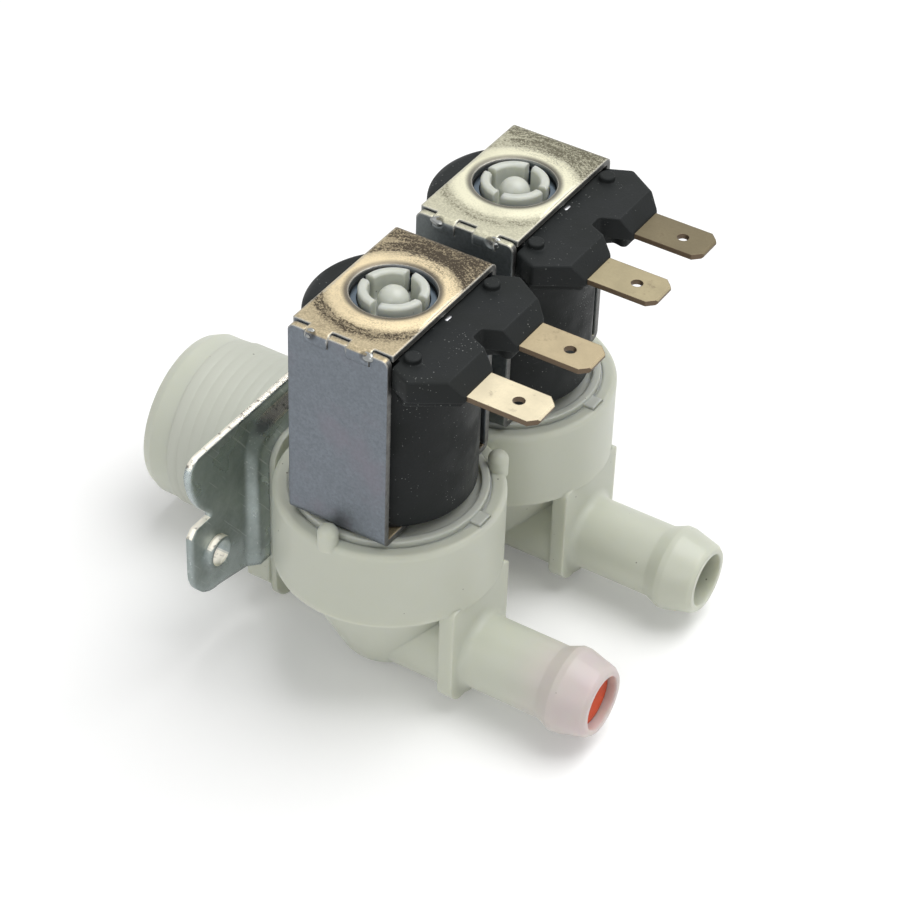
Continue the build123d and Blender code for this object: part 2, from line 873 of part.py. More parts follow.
def make_blade(y):
    """Flat blade terminal with a bevelled tip and its locking hole."""
    with BuildPart() as blade:
        with BuildSketch(level(blade_z - blade_thickness / 2, y)) as face:
            with Locations((blade_inner_x, 0)):
                Rectangle(
                    blade_tip_x - blade_inner_x, blade_width, align=(Align.MIN, Align.CENTER)
                )
            chamfer(face.vertices().sort_by(Axis.X)[-2:], length=blade_corner)
            with Locations((blade_tip_x - blade_hole_back, 0)):
                Circle(blade_hole_radius, mode=Mode.SUBTRACT)
        extrude(amount=blade_thickness)
        tip = blade.faces().sort_by(Axis.X)[-1]
        chamfer(tip.edges().filter_by(Axis.Y), length=blade_thickness * blade_bevel_share)
    return blade


def make_guide(y):
    """Armature guide: ring and disc in the cup, closed tube, split crown and centre nub."""
    with BuildPart() as guide:
        turned(
            [
                (tube_bore, guide_disc_bottom),
                (guide_ring_radius, guide_disc_bottom),
                (guide_ring_radius, guide_bottom),
                (guide_radius, guide_bottom),
                (guide_radius, guide_top),
                (guide_radius - guide_rim_width, guide_top),
                (guide_radius - guide_rim_width, guide_disc_top),
                (tube_radius, guide_disc_top),
                (tube_radius, crown_top - crown_round),
                (tube_radius - crown_round, crown_top),
                (crown_inner_radius + crown_round, crown_top),
                (crown_inner_radius, crown_top - crown_round),
                (crown_inner_radius, tube_top),
                (0, tube_top),
                (0, tube_top - tube_cap),
                (tube_bore, tube_top - tube_cap),
            ],
            y,
        )
        with BuildSketch(level(tube_top, y)):
            Rectangle(2 * (tube_radius + cut_margin), crown_slot)
            Rectangle(crown_slot, 2 * (tube_radius + cut_margin))
        extrude(amount=crown_height, mode=Mode.SUBTRACT)
        domed_pin(nub_radius, nub_rise, tube_top - tube_cap / 2, crown_top, y)
        with BuildSketch(level(guide_disc_bottom + key_clearance, y)):
            with Locations((guide_radius - key_root, 0)):
                Rectangle(
                    key_root + cup_inner_radius - guide_radius + key_depth,
                    key_width,
                    align=(Align.MIN, Align.CENTER),
                )
        extrude(amount=cup_rim_z + key_proud - guide_disc_bottom - key_clearance)
    return guide


def make_plunger(y):
    """Steel plunger with a seal pocket below and a spring pocket above."""
    radius = tube_bore - plunger_clearance
    with BuildPart() as plunger:
        turned(
            [
                (0, seal_top),
                (seal_radius, seal_top),
                (seal_radius, plunger_bottom),
                (radius - plunger_edge, plunger_bottom),
                (radius, plunger_bottom + plunger_edge),
                (radius, plunger_top - plunger_edge),
                (radius - plunger_edge, plunger_top),
                (plunger_recess_radius, plunger_top),
                (plunger_recess_radius, recess_floor),
                (0, recess_floor),
            ],
            y,
        )
    return plunger


def make_seal(y):
    """Rubber button in the plunger's lower end."""
    with BuildPart() as seal:
        turned(
            [(0, seal_bottom), (seal_radius, seal_bottom), (seal_radius, seal_top), (0, seal_top)],
            y,
        )
    return seal


def make_spring(y):
    """Return spring between the plunger's pocket and the closed end of the tube."""
    low = spring_bottom + spring_wire / 2 + spring_end_gap
    high = spring_top - spring_wire / 2 - spring_end_gap
    with BuildPart() as spring:
        with BuildLine(level(low, y)) as coil:
            Helix(pitch=(high - low) / spring_turns, height=high - low, radius=spring_radius)
        with BuildSketch(Plane(origin=coil.line @ 0, z_dir=coil.line % 0)):
            Rectangle(spring_wire, spring_wire)
        sweep(path=coil.line, is_frenet=True)
    return spring


def make_diaphragm(y):
    """Rubber diaphragm: a bead clamped under the guide and a membrane down to the seat."""
    flat = plate_disc_radius + membrane_flat_margin
    with BuildPart() as diaphragm:
        turned(
            [
                (membrane_hole_radius, membrane_bottom),
                (flat, membrane_bottom),
                (chamber_top_radius, shelf_z),
                (guide_radius, shelf_z),
                (guide_radius, guide_bottom),
                (bead_inner_radius, guide_bottom),
                (bead_inner_radius - bead_slope, guide_bottom - bead_step),
                (flat, membrane_top),
                (membrane_hole_radius, membrane_top),
            ],
            y,
        )
    return diaphragm


def make_diaphragm_plate(y):
    """Stiff plate on the diaphragm with the pilot seat above and guide fins below."""
    stem = membrane_hole_radius - stem_clearance
    fin_reach = outlet_bore_radius - fin_clearance
    with BuildPart() as disc:
        turned(
            [
                (0, membrane_bottom),
                (stem, membrane_bottom),
                (stem, membrane_top),
                (plate_disc_radius, membrane_top),
                (plate_disc_radius, disc_top - plate_disc_edge),
                (plate_disc_radius - plate_disc_edge, disc_top),
                (pilot_radius, disc_top),
                (pilot_radius - pilot_taper, pilot_top),
                (0, pilot_top),
            ],
            y,
        )
        with BuildSketch(level(membrane_bottom - stem_length, y)):
            Rectangle(2 * fin_reach, fin_thickness)
            Rectangle(fin_thickness, 2 * fin_reach)
        extrude(amount=stem_length)
        with BuildSketch(level(membrane_bottom - stem_length, y)):
            Circle(pilot_hole_radius)
        extrude(amount=pilot_top - membrane_bottom + stem_length, mode=Mode.SUBTRACT)
    return disc


for number, y in enumerate(valve_ys, start=1):
    save(make_yoke(y), f"yoke_{number}")
    save(make_coil_housing(y), f"coil_housing_{number}")
    save(make_bobbin(y), f"coil_bobbin_{number}")
    winding_low = winding_space_bottom + bobbin_flange
    winding_high = winding_space_top - bobbin_flange
    winding_outer = winding_space_radius - winding_clearance
    core_radius = coil_bore + bobbin_wall
    winding = make_tube(y, core_radius, winding_outer, winding_low, winding_high)
    save(winding, f"coil_winding_{number}")
    save(make_blade(y - blade_pitch / 2), f"terminal_a_{number}")
    save(make_blade(y + blade_pitch / 2), f"terminal_b_{number}")
    sleeve_top = yoke_top - sleeve_below_top
    upper = make_tube(y, sleeve_inner, sleeve_outer, sleeve_top - upper_sleeve_length, sleeve_top)
    save(upper, f"upper_sleeve_{number}")
    sleeve_foot = guide_disc_top
    lower = make_tube(y, sleeve_inner, sleeve_outer, sleeve_foot, sleeve_foot + lower_sleeve_length)
    save(lower, f"lower_sleeve_{number}")
    save(make_guide(y), f"armature_guide_{number}")
    save(make_plunger(y), f"plunger_{number}")
    save(make_seal(y), f"plunger_seal_{number}")
    save(make_spring(y), f"plunger_spring_{number}")
    save(make_diaphragm(y), f"diaphragm_{number}")
    save(make_diaphragm_plate(y), f"diaphragm_plate_{number}")
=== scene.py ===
"""Double water inlet valve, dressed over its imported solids.

Everything is in metres in the frame of the model: the inlet's axis is X, the
coils stand along Z, and the two valves lie side by side along Y.
"""
import math
import random

import bmesh
import bpy
from mathutils import Matrix, Vector


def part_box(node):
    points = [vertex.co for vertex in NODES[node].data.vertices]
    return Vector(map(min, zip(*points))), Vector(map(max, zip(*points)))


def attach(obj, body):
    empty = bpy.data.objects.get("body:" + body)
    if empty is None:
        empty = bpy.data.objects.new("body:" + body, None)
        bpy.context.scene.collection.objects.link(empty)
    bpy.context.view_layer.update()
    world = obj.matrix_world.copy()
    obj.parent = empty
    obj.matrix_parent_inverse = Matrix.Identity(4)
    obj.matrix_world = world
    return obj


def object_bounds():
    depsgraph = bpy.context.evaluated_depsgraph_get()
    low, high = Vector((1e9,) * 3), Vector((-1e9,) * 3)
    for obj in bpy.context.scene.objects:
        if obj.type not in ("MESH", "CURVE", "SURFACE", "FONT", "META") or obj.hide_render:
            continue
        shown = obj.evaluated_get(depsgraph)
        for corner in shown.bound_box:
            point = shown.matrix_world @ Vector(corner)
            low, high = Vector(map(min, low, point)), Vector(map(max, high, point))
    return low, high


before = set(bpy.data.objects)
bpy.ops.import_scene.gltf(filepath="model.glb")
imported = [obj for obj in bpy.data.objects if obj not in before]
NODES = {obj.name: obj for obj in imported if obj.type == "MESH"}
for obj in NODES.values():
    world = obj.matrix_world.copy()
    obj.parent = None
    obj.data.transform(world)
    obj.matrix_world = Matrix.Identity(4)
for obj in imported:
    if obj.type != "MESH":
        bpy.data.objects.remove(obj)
cad_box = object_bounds()

MM = 0.001


def centre(node):
    """Middle of a solid's box."""
    low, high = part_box(node)
    return (Vector(low) + Vector(high)) / 2


# Places taken from the solids
YOKE_BOXES = {n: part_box(f"yoke_{n}") for n in (1, 2)}
VALVE_AXES = {n: centre(f"yoke_{n}") for n in (1, 2)}
YOKE_TOP = YOKE_BOXES[1][1][2]
OUTLET_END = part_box("valve_body")[1][0]
OUTLET_Z = centre("flow_regulator").z
FLOOR_Z = cad_box[0][2]

# Places of the two punch marks on a yoke's finger joint, from its axis and its top
DENT_OFFSETS = [(-0.0044, -0.0006), (0.0045, -0.0006)]


# Node helpers
def put(tree, kind, links=None, **settings):
    """New node with its settings and its inputs, which are numbers, colours or sockets."""
    node = tree.nodes.new(kind)
    for name, value in settings.items():
        setattr(node, name, value)
    for name, value in (links or {}).items():
        if isinstance(value, bpy.types.NodeSocket):
            tree.links.new(value, node.inputs[name])
        else:
            node.inputs[name].default_value = value
    return node


def maths(tree, operation, first, second=0.0, clamp=False):
    """Result of one sum, clamped to 0 and 1 if asked."""
    node = put(tree, "ShaderNodeMath", {0: first, 1: second}, operation=operation, use_clamp=clamp)
    return node.outputs[0]


def plus(tree, first, second):
    return maths(tree, "ADD", first, second)


def times(tree, first, second):
    return maths(tree, "MULTIPLY", first, second)


def slope(tree, value, factor, start):
    """Straight line through start: value times factor plus start."""
    links = {0: value, 1: factor, 2: start}
    return put(tree, "ShaderNodeMath", links, operation="MULTIPLY_ADD").outputs[0]


def fade(tree, value, start, end):
    """0 before start and 1 after end, with soft ends."""
    links = {"Value": value, "From Min": start, "From Max": end}
    node = put(tree, "ShaderNodeMapRange", links, interpolation_type="SMOOTHSTEP")
    return node.outputs["Result"]


def blend(tree, share, first, second):
    """Colour mixed from two by a share from 0 to 1."""
    node = put(tree, "ShaderNodeMix", {0: share, 6: first, 7: second}, data_type="RGBA")
    return node.outputs[2]


def noise(tree, place, scale, detail=2.0, roughness=0.5):
    """Uneven value from 0 to 1, with the given number of lumps to a metre."""
    links = {"Vector": place, "Scale": scale, "Detail": detail, "Roughness": roughness}
    return put(tree, "ShaderNodeTexNoise", links).outputs[0]


def vector(tree, operation, first, second=(0.0, 0.0, 0.0)):
    """Node that works on two points."""
    return put(tree, "ShaderNodeVectorMath", {0: first, 1: second}, operation=operation).outputs


def axes_of(tree, point):
    return put(tree, "ShaderNodeSeparateXYZ", {0: point}).outputs


def rgb(red, green, blue):
    return (red, green, blue, 1.0)


def toned(colour, factor):
    """Colour made darker or lighter by a factor."""
    return tuple(min(1.0, factor * value) for value in colour[:3]) + (1.0,)


# Effects that several materials share
NUMBER = "NodeSocketFloat"
POINT = "NodeSocketVector"


def effect(name, inputs, outputs):
    """Empty node group with named inputs and outputs of the given kinds."""
    tree = bpy.data.node_groups.new(name, "ShaderNodeTree")
    for label, kind in inputs:
        tree.interface.new_socket(label, in_out="INPUT", socket_type=kind)
    for label, kind in outputs:
        tree.interface.new_socket(label, in_out="OUTPUT", socket_type=kind)
    start = tree.nodes.new("NodeGroupInput")
    end = tree.nodes.new("NodeGroupOutput")
    return tree, start.outputs, end.inputs


def make_patch_effect():
    """Soft uneven patches, 0 to 1."""
    inputs = [("Place", POINT), ("Size", NUMBER), ("Low", NUMBER), ("High", NUMBER)]
    tree, given, out = effect("soft patches", inputs, [("Mask", NUMBER)])
    scale = maths(tree, "DIVIDE", 1.0, given["Size"])
    lumps = noise(tree, given["Place"], scale, 4.0, 0.55)
    tree.links.new(fade(tree, lumps, given["Low"], given["High"]), out["Mask"])
    return tree


def make_speck_effect():
    """Small scattered specks, one in a share of the cells."""
    inputs = [("Place", POINT), ("Spacing", NUMBER), ("Share", NUMBER), ("Radius", NUMBER)]
    tree, given, out = effect("specks", inputs, [("Mask", NUMBER)])
    scale = maths(tree, "DIVIDE", 1.0, given["Spacing"])
    cells = put(tree, "ShaderNodeTexVoronoi", {"Vector": given["Place"], "Scale": scale})
    split = put(tree, "ShaderNodeSeparateColor", {0: cells.outputs["Color"]})
    chosen = maths(tree, "LESS_THAN", split.outputs[0], given["Share"])
    size = times(tree, given["Radius"], plus(tree, split.outputs[1], 0.4))
    near = maths(tree, "LESS_THAN", cells.outputs["Distance"], size)
    tree.links.new(times(tree, chosen, near), out["Mask"])
    return tree


def make_facing_effect():
    """Which way the surface faces: up, and sideways along X."""
    tree, given, out = effect("facing", [("Tilt", NUMBER)], [("Up", NUMBER), ("Side", NUMBER)])
    here = put(tree, "ShaderNodeNewGeometry")
    axes = axes_of(tree, here.outputs["True Normal"])
    steeper = plus(tree, given["Tilt"], 0.25)
    tree.links.new(fade(tree, axes["Z"], given["Tilt"], steeper), out["Up"])
    side = maths(tree, "ABSOLUTE", axes["X"])
    tree.links.new(fade(tree, side, given["Tilt"], steeper), out["Side"])
    return tree


def make_streak_effect():
    """Fine brushed streaks along X, 0 to 1."""
    inputs = [("Place", POINT), ("Width", NUMBER), ("Pull", NUMBER)]
    tree, given, out = effect("brushed streaks", inputs, [("Mask", NUMBER)])
    pull = put(tree, "ShaderNodeCombineXYZ", {0: given["Pull"], 1: 1.0, 2: 1.0})
    pulled = vector(tree, "MULTIPLY", given["Place"], pull.outputs[0])[0]
    scale = maths(tree, "DIVIDE", 1.0, given["Width"])
    brushed = noise(tree, pulled, scale, 4.0, 0.65)
    tree.links.new(fade(tree, brushed, 0.3, 0.7), out["Mask"])
    return tree


def make_spot_effect():
    """Round spot about a point, 1 in the middle and 0 outside."""
    inputs = [("Place", POINT), ("Middle", POINT), ("Inner", NUMBER), ("Outer", NUMBER)]
    tree, given, out = effect("round spot", inputs, [("Mask", NUMBER)])
    apart = vector(tree, "DISTANCE", given["Place"], given["Middle"])["Value"]
    outside = fade(tree, apart, given["Inner"], given["Outer"])
    tree.links.new(maths(tree, "SUBTRACT", 1.0, outside), out["Mask"])
    return tree


def make_ring_effect():
    """How far a point is from an upright axis, and a mask that fades out round it."""
    inputs = [("Place", POINT), ("Axis", POINT), ("Inner", NUMBER), ("Outer", NUMBER)]
    outputs = [("Near", NUMBER), ("Distance", NUMBER)]
    tree, given, out = effect("round an axis", inputs, outputs)
    offset = vector(tree, "SUBTRACT", given["Place"], given["Axis"])[0]
    flat = vector(tree, "MULTIPLY", offset, (1.0, 1.0, 0.0))[0]
    distance = vector(tree, "LENGTH", flat)["Value"]
    far = fade(tree, distance, given["Inner"], given["Outer"])
    tree.links.new(maths(tree, "SUBTRACT", 1.0, far), out["Near"])
    tree.links.new(distance, out["Distance"])
    return tree


def make_scratch_effect():
    """Thin scratches along one way."""
    inputs = [("Place", POINT), ("Turn", POINT), ("Width", NUMBER), ("Share", NUMBER)]
    tree, given, out = effect("scratches", inputs, [("Mask", NUMBER)])
    links = {"Vector": given["Place"], "Rotation": given["Turn"]}
    turned = put(tree, "ShaderNodeVectorRotate", links, rotation_type="EULER_XYZ").outputs[0]
    pulled = vector(tree, "MULTIPLY", turned, (1.0, 0.03, 1.0))[0]
    scale = maths(tree, "DIVIDE", 1.0, given["Width"])
    lines = noise(tree, pulled, scale)
    level = maths(tree, "SUBTRACT", 1.0, given["Share"])
    tree.links.new(fade(tree, lines, level, plus(tree, level, 0.08)), out["Mask"])
    return tree


def make_edge_effect():
    """Mask along edges, 0 on flat faces and 1 along a corner."""
    tree, given, out = effect("rubbed edges", [("Rounded", POINT)], [("Mask", NUMBER)])
    here = put(tree, "ShaderNodeNewGeometry")
    same = vector(tree, "DOT_PRODUCT", given["Rounded"], here.outputs["True Normal"])["Value"]
    turned = maths(tree, "SUBTRACT", 1.0, same)
    tree.links.new(fade(tree, turned, 0.01, 0.16), out["Mask"])
    return tree


PATCHES = make_patch_effect()
SPECKS = make_speck_effect()
FACING = make_facing_effect()
RING = make_ring_effect()
STREAKS = make_streak_effect()
SPOT = make_spot_effect()
SCRATCHES = make_scratch_effect()
EDGES = make_edge_effect()


def use(tree, group, **links):
    """Outputs of a shared effect, put into a material."""
    return put(tree, "ShaderNodeGroup", links, node_tree=group).outputs


def patches(tree, place, size, low, high):
    return use(tree, PATCHES, Place=place, Size=size, Low=low, High=high)["Mask"]


def ring(tree, place, axis, reach):
    return use(tree, RING, Place=place, Axis=axis, Inner=reach[0], Outer=reach[1])


def streaks(tree, place, width, pull):
    return use(tree, STREAKS, Place=place, Width=width, Pull=pull)["Mask"]


def lift(tree, normal, height, strength, depth):
    """Normal with one more layer of relief."""
    links = {"Height": height, "Strength": strength, "Distance": depth, "Normal": normal}
    return put(tree, "ShaderNodeBump", links).outputs[0]


def soft_edges(tree, radius):
    """Normal that rounds sharp edges."""
    return put(tree, "ShaderNodeBevel", {"Radius": radius}, samples=6).outputs[0]


# Materials
def new_material(name):
    """Material with its tree, its shader's inputs and the place on the object."""
    mat = bpy.data.materials.new(name)
    mat.use_nodes = True
    tree = mat.node_tree
    place = put(tree, "ShaderNodeTexCoord").outputs["Object"]
    return mat, tree, tree.nodes["Principled BSDF"].inputs, place


def moulded_nylon(name, light, shade, tint_and_painted_light=None, soft=0.7, rough=0.36):
    """Milky off-white nylon that light sinks into, with a few dark dots, and if asked a painted
    glow of coloured light about a point.
    """
    mat, tree, shader, place = new_material(name)
    colour = blend(tree, patches(tree, place, 0.02, 0.3, 0.7), light, shade)
    if tint_and_painted_light is not None:
        # painted light: the colour round a point tinted as if lit through a coloured part
        where, reach, tone = tint_and_painted_light
        spot = use(tree, SPOT, Place=place, Middle=where, Inner=reach * 0.25, Outer=reach)
        cloudy = patches(tree, place, 0.004, -0.2, 0.75)
        colour = blend(tree, times(tree, spot["Mask"], cloudy), colour, tone)
    dots = use(tree, SPECKS, Place=place, Spacing=0.0016, Share=0.13, Radius=0.075)["Mask"]
    colour = blend(tree, times(tree, dots, 0.75), colour, rgb(0.09, 0.08, 0.06))
    tree.links.new(colour, shader["Base Color"])
    shader["Subsurface Weight"].default_value = soft
    shader["Subsurface Radius"].default_value = (1.0, 0.95, 0.75)
    shader["Subsurface Scale"].default_value = 0.0018
    shader["IOR"].default_value = 1.5
    sheen = patches(tree, place, 0.006, 0.2, 0.8)
    tree.links.new(slope(tree, sheen, 0.06, rough), shader["Roughness"])
    normal = soft_edges(tree, 0.0005)
    normal = lift(tree, normal, noise(tree, place, 260.0, 1.0), 0.25, 0.00012)
    normal = lift(tree, normal, noise(tree, place, 2600.0), 0.12, 0.00006)
    tree.links.new(normal, shader["Normal"])
    return mat


def plated_face(tree, place, grain, face):
    """Bluish plating with a fine mottle and faint reddish areas."""
    darker = toned(face, 0.70)
    red = (face[0] * 1.02, face[1] * 0.80, face[2] * 0.84, 1.0)
    tone = blend(tree, grain, darker, face)
    mottle = patches(tree, place, 0.0016, 0.3, 0.75)
    tone = blend(tree, times(tree, mottle, 0.35), tone, darker)
    blush = patches(tree, place, 0.008, 0.5, 0.75)
    return blend(tree, times(tree, blush, 0.45), tone, red)


def tarnished_top(tree, place, axis, light, dark, wear_and_painted_light):
    """Brushed metal, polished round the hole and painted lighter there as a highlight, with arcs
    of brown tarnish further out and painted shade towards the back.
    """
    bright_ring_reach = (0.0080, 0.0098)
    rim_reach = (0.0064, 0.0073)
    arc_start = (0.0088, 0.0098)
    arc_end = (0.0104, 0.0118)
    mean_radius = 0.008

    # streaks drawn round the hole
    along = axes_of(tree, vector(tree, "SUBTRACT", place, axis)[0])
    angle = maths(tree, "ARCTAN2", along["Y"], along["X"])
    near = ring(tree, place, axis, bright_ring_reach)
    links = {0: times(tree, angle, mean_radius), 1: near["Distance"], 2: 0.0}
    drawn = put(tree, "ShaderNodeCombineXYZ", links).outputs[0]
    fine = streaks(tree, drawn, 0.0006, 0.22)
    wide = streaks(tree, drawn, 0.0030, 0.35)
    speckle = fade(tree, noise(tree, place, 3800.0, 3.0, 0.75), 0.36, 0.62)

    # tarnish: one arc and wide bands, more of them at the back of the hole; painted shade: the top
    # darker towards the back and in a strip along the back edge
    ended = ring(tree, place, axis, arc_end)["Near"]
    begun = ring(tree, place, axis, arc_start)["Near"]
    arc = maths(tree, "SUBTRACT", ended, begun, clamp=True)
    lean = plus(tree, along["Y"], times(tree, along["X"], 0.4))
    # painted shade: darker towards the back and the right of the top, and in a strip along the
    # back edge
    shade_behind = fade(tree, lean, 0.004, 0.015)
    shade_strip = fade(tree, along["Y"], 0.006, 0.0125)
    bands = times(tree, wide, slope(tree, shade_behind, 0.9, 0.35))
    tint_and_painted_light = plus(tree, times(tree, arc, wear_and_painted_light), times(tree, bands, wear_and_painted_light))
    tint_and_painted_light = plus(tree, tint_and_painted_light, times(tree, shade_behind, 0.30 + 0.35 * wear_and_painted_light))
    tint_and_painted_light = plus(tree, tint_and_painted_light, times(tree, shade_strip, 1.0 - 0.4 * wear_and_painted_light))
    tint_and_painted_light = times(tree, tint_and_painted_light, slope(tree, times(tree, fine, speckle), 1.1, 0.25))
    tint_and_painted_light = plus(tree, tint_and_painted_light, times(tree, speckle, 0.26))
    tint_and_painted_light = maths(tree, "SUBTRACT", tint_and_painted_light, times(tree, near["Near"], 0.22), clamp=True)

    # colours, with the ring round the hole polished and painted lighter as a highlight, and the
    # dark rim of the hole
    uneven = patches(tree, place, 0.009, 0.2, 0.55)
    # painted highlight on real polish: a lighter copy of the top's colour round the hole
    polish_and_highlight = times(tree, near["Near"], times(tree, uneven, 0.3 + 0.7 * wear_and_painted_light))
    top = blend(tree, polish_and_highlight, light, toned(light, 1.45))
    top = blend(tree, tint_and_painted_light, top, dark)
    rim = ring(tree, place, axis, rim_reach)["Near"]
    return blend(tree, times(tree, rim, 0.85), top, rgb(0.055, 0.05, 0.045))


def plated_sheet(name, face, light, dark, wear_and_painted_light, axis, dents):
    """Zinc-plated sheet: bluish faces, tarnished top, dark cut edges and punch marks, and a
    painted highlight along the fold.
    """
    mat, tree, shader, place = new_material(name)
    facing = use(tree, FACING, Tilt=0.45)
    fine = noise(tree, place, 2200.0, 4.0, 0.7)
    grain = fade(tree, fine, 0.25, 0.75)
    bluish = plated_face(tree, place, grain, face)
    top = tarnished_top(tree, place, axis, light, dark, wear_and_painted_light)
    tone = blend(tree, facing["Up"], bluish, top)
    torn = noise(tree, place, 1500.0)
    cut = blend(tree, torn, rgb(0.07, 0.07, 0.07), rgb(0.22, 0.22, 0.21))
    tone = blend(tree, facing["Side"], tone, cut)

    # pits that lock the fingers, and a painted highlight along the edges of the fold
    pits = 0.0
    for middle in dents:
        spot = use(tree, SPOT, Place=place, Middle=middle, Inner=0.0003, Outer=0.0012)
        pits = maths(tree, "MAXIMUM", spot["Mask"], pits)
    pitted = maths(tree, "MULTIPLY", pits, plus(tree, grain, 0.25), clamp=True)
    tone = blend(tree, times(tree, pitted, 0.85), tone, rgb(0.06, 0.055, 0.05))
    rounded = soft_edges(tree, 0.0005)
    rounded_off = use(tree, EDGES, Rounded=rounded)["Mask"]
    height = axes_of(tree, place)["Z"]
    folded = fade(tree, height, YOKE_TOP - 1.5 * MM, YOKE_TOP - 0.7 * MM)
    rounded_off = times(tree, rounded_off, times(tree, folded, 0.6))
    # painted highlight: the fold's edges made lighter
    tone = blend(tree, rounded_off, tone, rgb(0.74, 0.72, 0.64))
    tree.links.new(tone, shader["Base Color"])

    tree.links.new(slope(tree, facing["Up"], -0.27, 0.92), shader["Metallic"])
    rough = slope(tree, facing["Up"], -0.12, 0.46)
    tree.links.new(plus(tree, rough, times(tree, grain, 0.08)), shader["Roughness"])
    normal = lift(tree, rounded, fine, 0.30, 0.00006)
    normal = lift(tree, normal, maths(tree, "SUBTRACT", 1.0, pits), 0.9, 0.0006)
    tree.links.new(normal, shader["Normal"])
    return mat


def black_overmould(name):
    """Matt charcoal moulding with pale dust, edges painted lighter as a highlight, and a few
    scratches.
    """
    mat, tree, shader, place = new_material(name)
    faded = patches(tree, place, 0.006, 0.35, 0.7)
    colour = blend(tree, faded, rgb(0.010, 0.012, 0.0125), rgb(0.017, 0.019, 0.0185))
    dusty = patches(tree, place, 0.005, 0.48, 0.68)
    share = slope(tree, dusty, 0.30, 0.05)
    dust = use(tree, SPECKS, Place=place, Spacing=0.00032, Share=share, Radius=0.23)["Mask"]
    dust = times(tree, dust, slope(tree, dusty, 0.55, 0.25))
    colour = blend(tree, dust, colour, rgb(0.22, 0.23, 0.22))
    turn = (0.3, 0.5, 0.9)
    lines = use(tree, SCRATCHES, Place=place, Turn=turn, Width=0.0004, Share=0.27)["Mask"]
    lines = times(tree, lines, times(tree, dusty, 0.5))
    colour = blend(tree, lines, colour, rgb(0.30, 0.31, 0.31))
    rounded = soft_edges(tree, 0.00045)
    rounded_off = use(tree, EDGES, Rounded=rounded)["Mask"]
    # painted highlight: the edges made lighter
    colour = blend(tree, times(tree, rounded_off, 0.35), colour, rgb(0.055, 0.06, 0.062))
    tree.links.new(colour, shader["Base Color"])
    tree.links.new(fade(tree, faded, -2.2, 2.6), shader["Roughness"])
    shader["Specular IOR Level"].default_value = 0.17
    normal = lift(tree, rounded, noise(tree, place, 2600.0, 3.0), 0.35, 0.00007)
    tree.links.new(normal, shader["Normal"])
    return mat


def tinned_blade(name, face, edge):
    """Tinned brass blade: pale faces with brown blots, brown sheared edges."""
    mat, tree, shader, place = new_material(name)
    facing = use(tree, FACING, Tilt=0.35)
    fine = noise(tree, place, 2200.0, 4.0, 0.7)
    grain = fade(tree, fine, 0.25, 0.8)
    darker = toned(face, 0.78)
    pale = blend(tree, patches(tree, place, 0.004, 0.25, 0.8), face, darker)
    pale = blend(tree, times(tree, grain, 0.45), pale, darker)
    blots = patches(tree, place, 0.0018, 0.60, 0.74)
    pale = blend(tree, times(tree, blots, times(tree, grain, 0.7)), pale, edge)
    rounded = soft_edges(tree, 0.0002)
    rounded_off = use(tree, EDGES, Rounded=rounded)["Mask"]
    pale = blend(tree, times(tree, rounded_off, 0.85), pale, edge)
    tree.links.new(blend(tree, facing["Up"], edge, pale), shader["Base Color"])
    shader["Metallic"].default_value = 0.5
    tree.links.new(slope(tree, grain, 0.15, 0.36), shader["Roughness"])
    tree.links.new(lift(tree, rounded, fine, 0.2, 0.00005), shader["Normal"])
    return mat


def bracket_zinc(name):
    """Grey-green zinc sheet with fine scratches and bright torn cut edges."""
    mat, tree, shader, place = new_material(name)
    facing = use(tree, FACING, Tilt=0.5)
    clouded = patches(tree, place, 0.009, 0.3, 0.7)
    fine = noise(tree, place, 1700.0, 4.0)
    grain = fade(tree, fine, 0.3, 0.75)
    colour = blend(tree, clouded, rgb(0.49, 0.555, 0.56), rgb(0.30, 0.345, 0.335))
    colour = blend(tree, times(tree, grain, 0.4), colour, rgb(0.46, 0.50, 0.49))
    turn = (0.9, 0.0, 0.0)
    lines = use(tree, SCRATCHES, Place=place, Turn=turn, Width=0.0003, Share=0.36)["Mask"]
    colour = blend(tree, times(tree, lines, 0.6), colour, rgb(0.72, 0.75, 0.74))
    torn = patches(tree, place, 0.0011, 0.54, 0.70)
    ragged = blend(tree, torn, rgb(0.98, 0.94, 0.82), rgb(0.22, 0.20, 0.17))
    colour = blend(tree, facing["Up"], colour, ragged)
    tree.links.new(colour, shader["Base Color"])
    shader["Metallic"].default_value = 0.9
    tree.links.new(fade(tree, clouded, -1.1, 3.4), shader["Roughness"])
    tree.links.new(lift(tree, soft_edges(tree, 0.0013), fine, 0.22, 0.00008), shader["Normal"])
    return mat


def plain_metal(name, colour, rough):
    """Clean metal with a faint grain."""
    mat, tree, shader, place = new_material(name)
    fine = noise(tree, place, 1800.0, 3.0)
    tree.links.new(blend(tree, fine, colour, toned(colour, 0.75)), shader["Base Color"])
    shader["Metallic"].default_value = 1.0
    shader["Roughness"].default_value = rough
    tree.links.new(lift(tree, soft_edges(tree, 0.0001), fine, 0.1, 0.00004), shader["Normal"])
    return mat


def soft_rubber(name, colour):
    """Matt rubber with slightly lighter patches."""
    mat, tree, shader, place = new_material(name)
    lighter = patches(tree, place, 0.002, 0.3, 0.7)
    tree.links.new(blend(tree, lighter, colour, toned(colour, 1.2)), shader["Base Color"])
    shader["Roughness"].default_value = 0.45
    grain = noise(tree, place, 3000.0)
    tree.links.new(lift(tree, soft_edges(tree, 0.00015), grain, 0.2, 0.00004), shader["Normal"])
    return mat


def paint(node, mat):
    """Give one CAD solid its material."""
    solid = NODES[node]
    solid.data.materials.clear()
    solid.data.materials.append(mat)


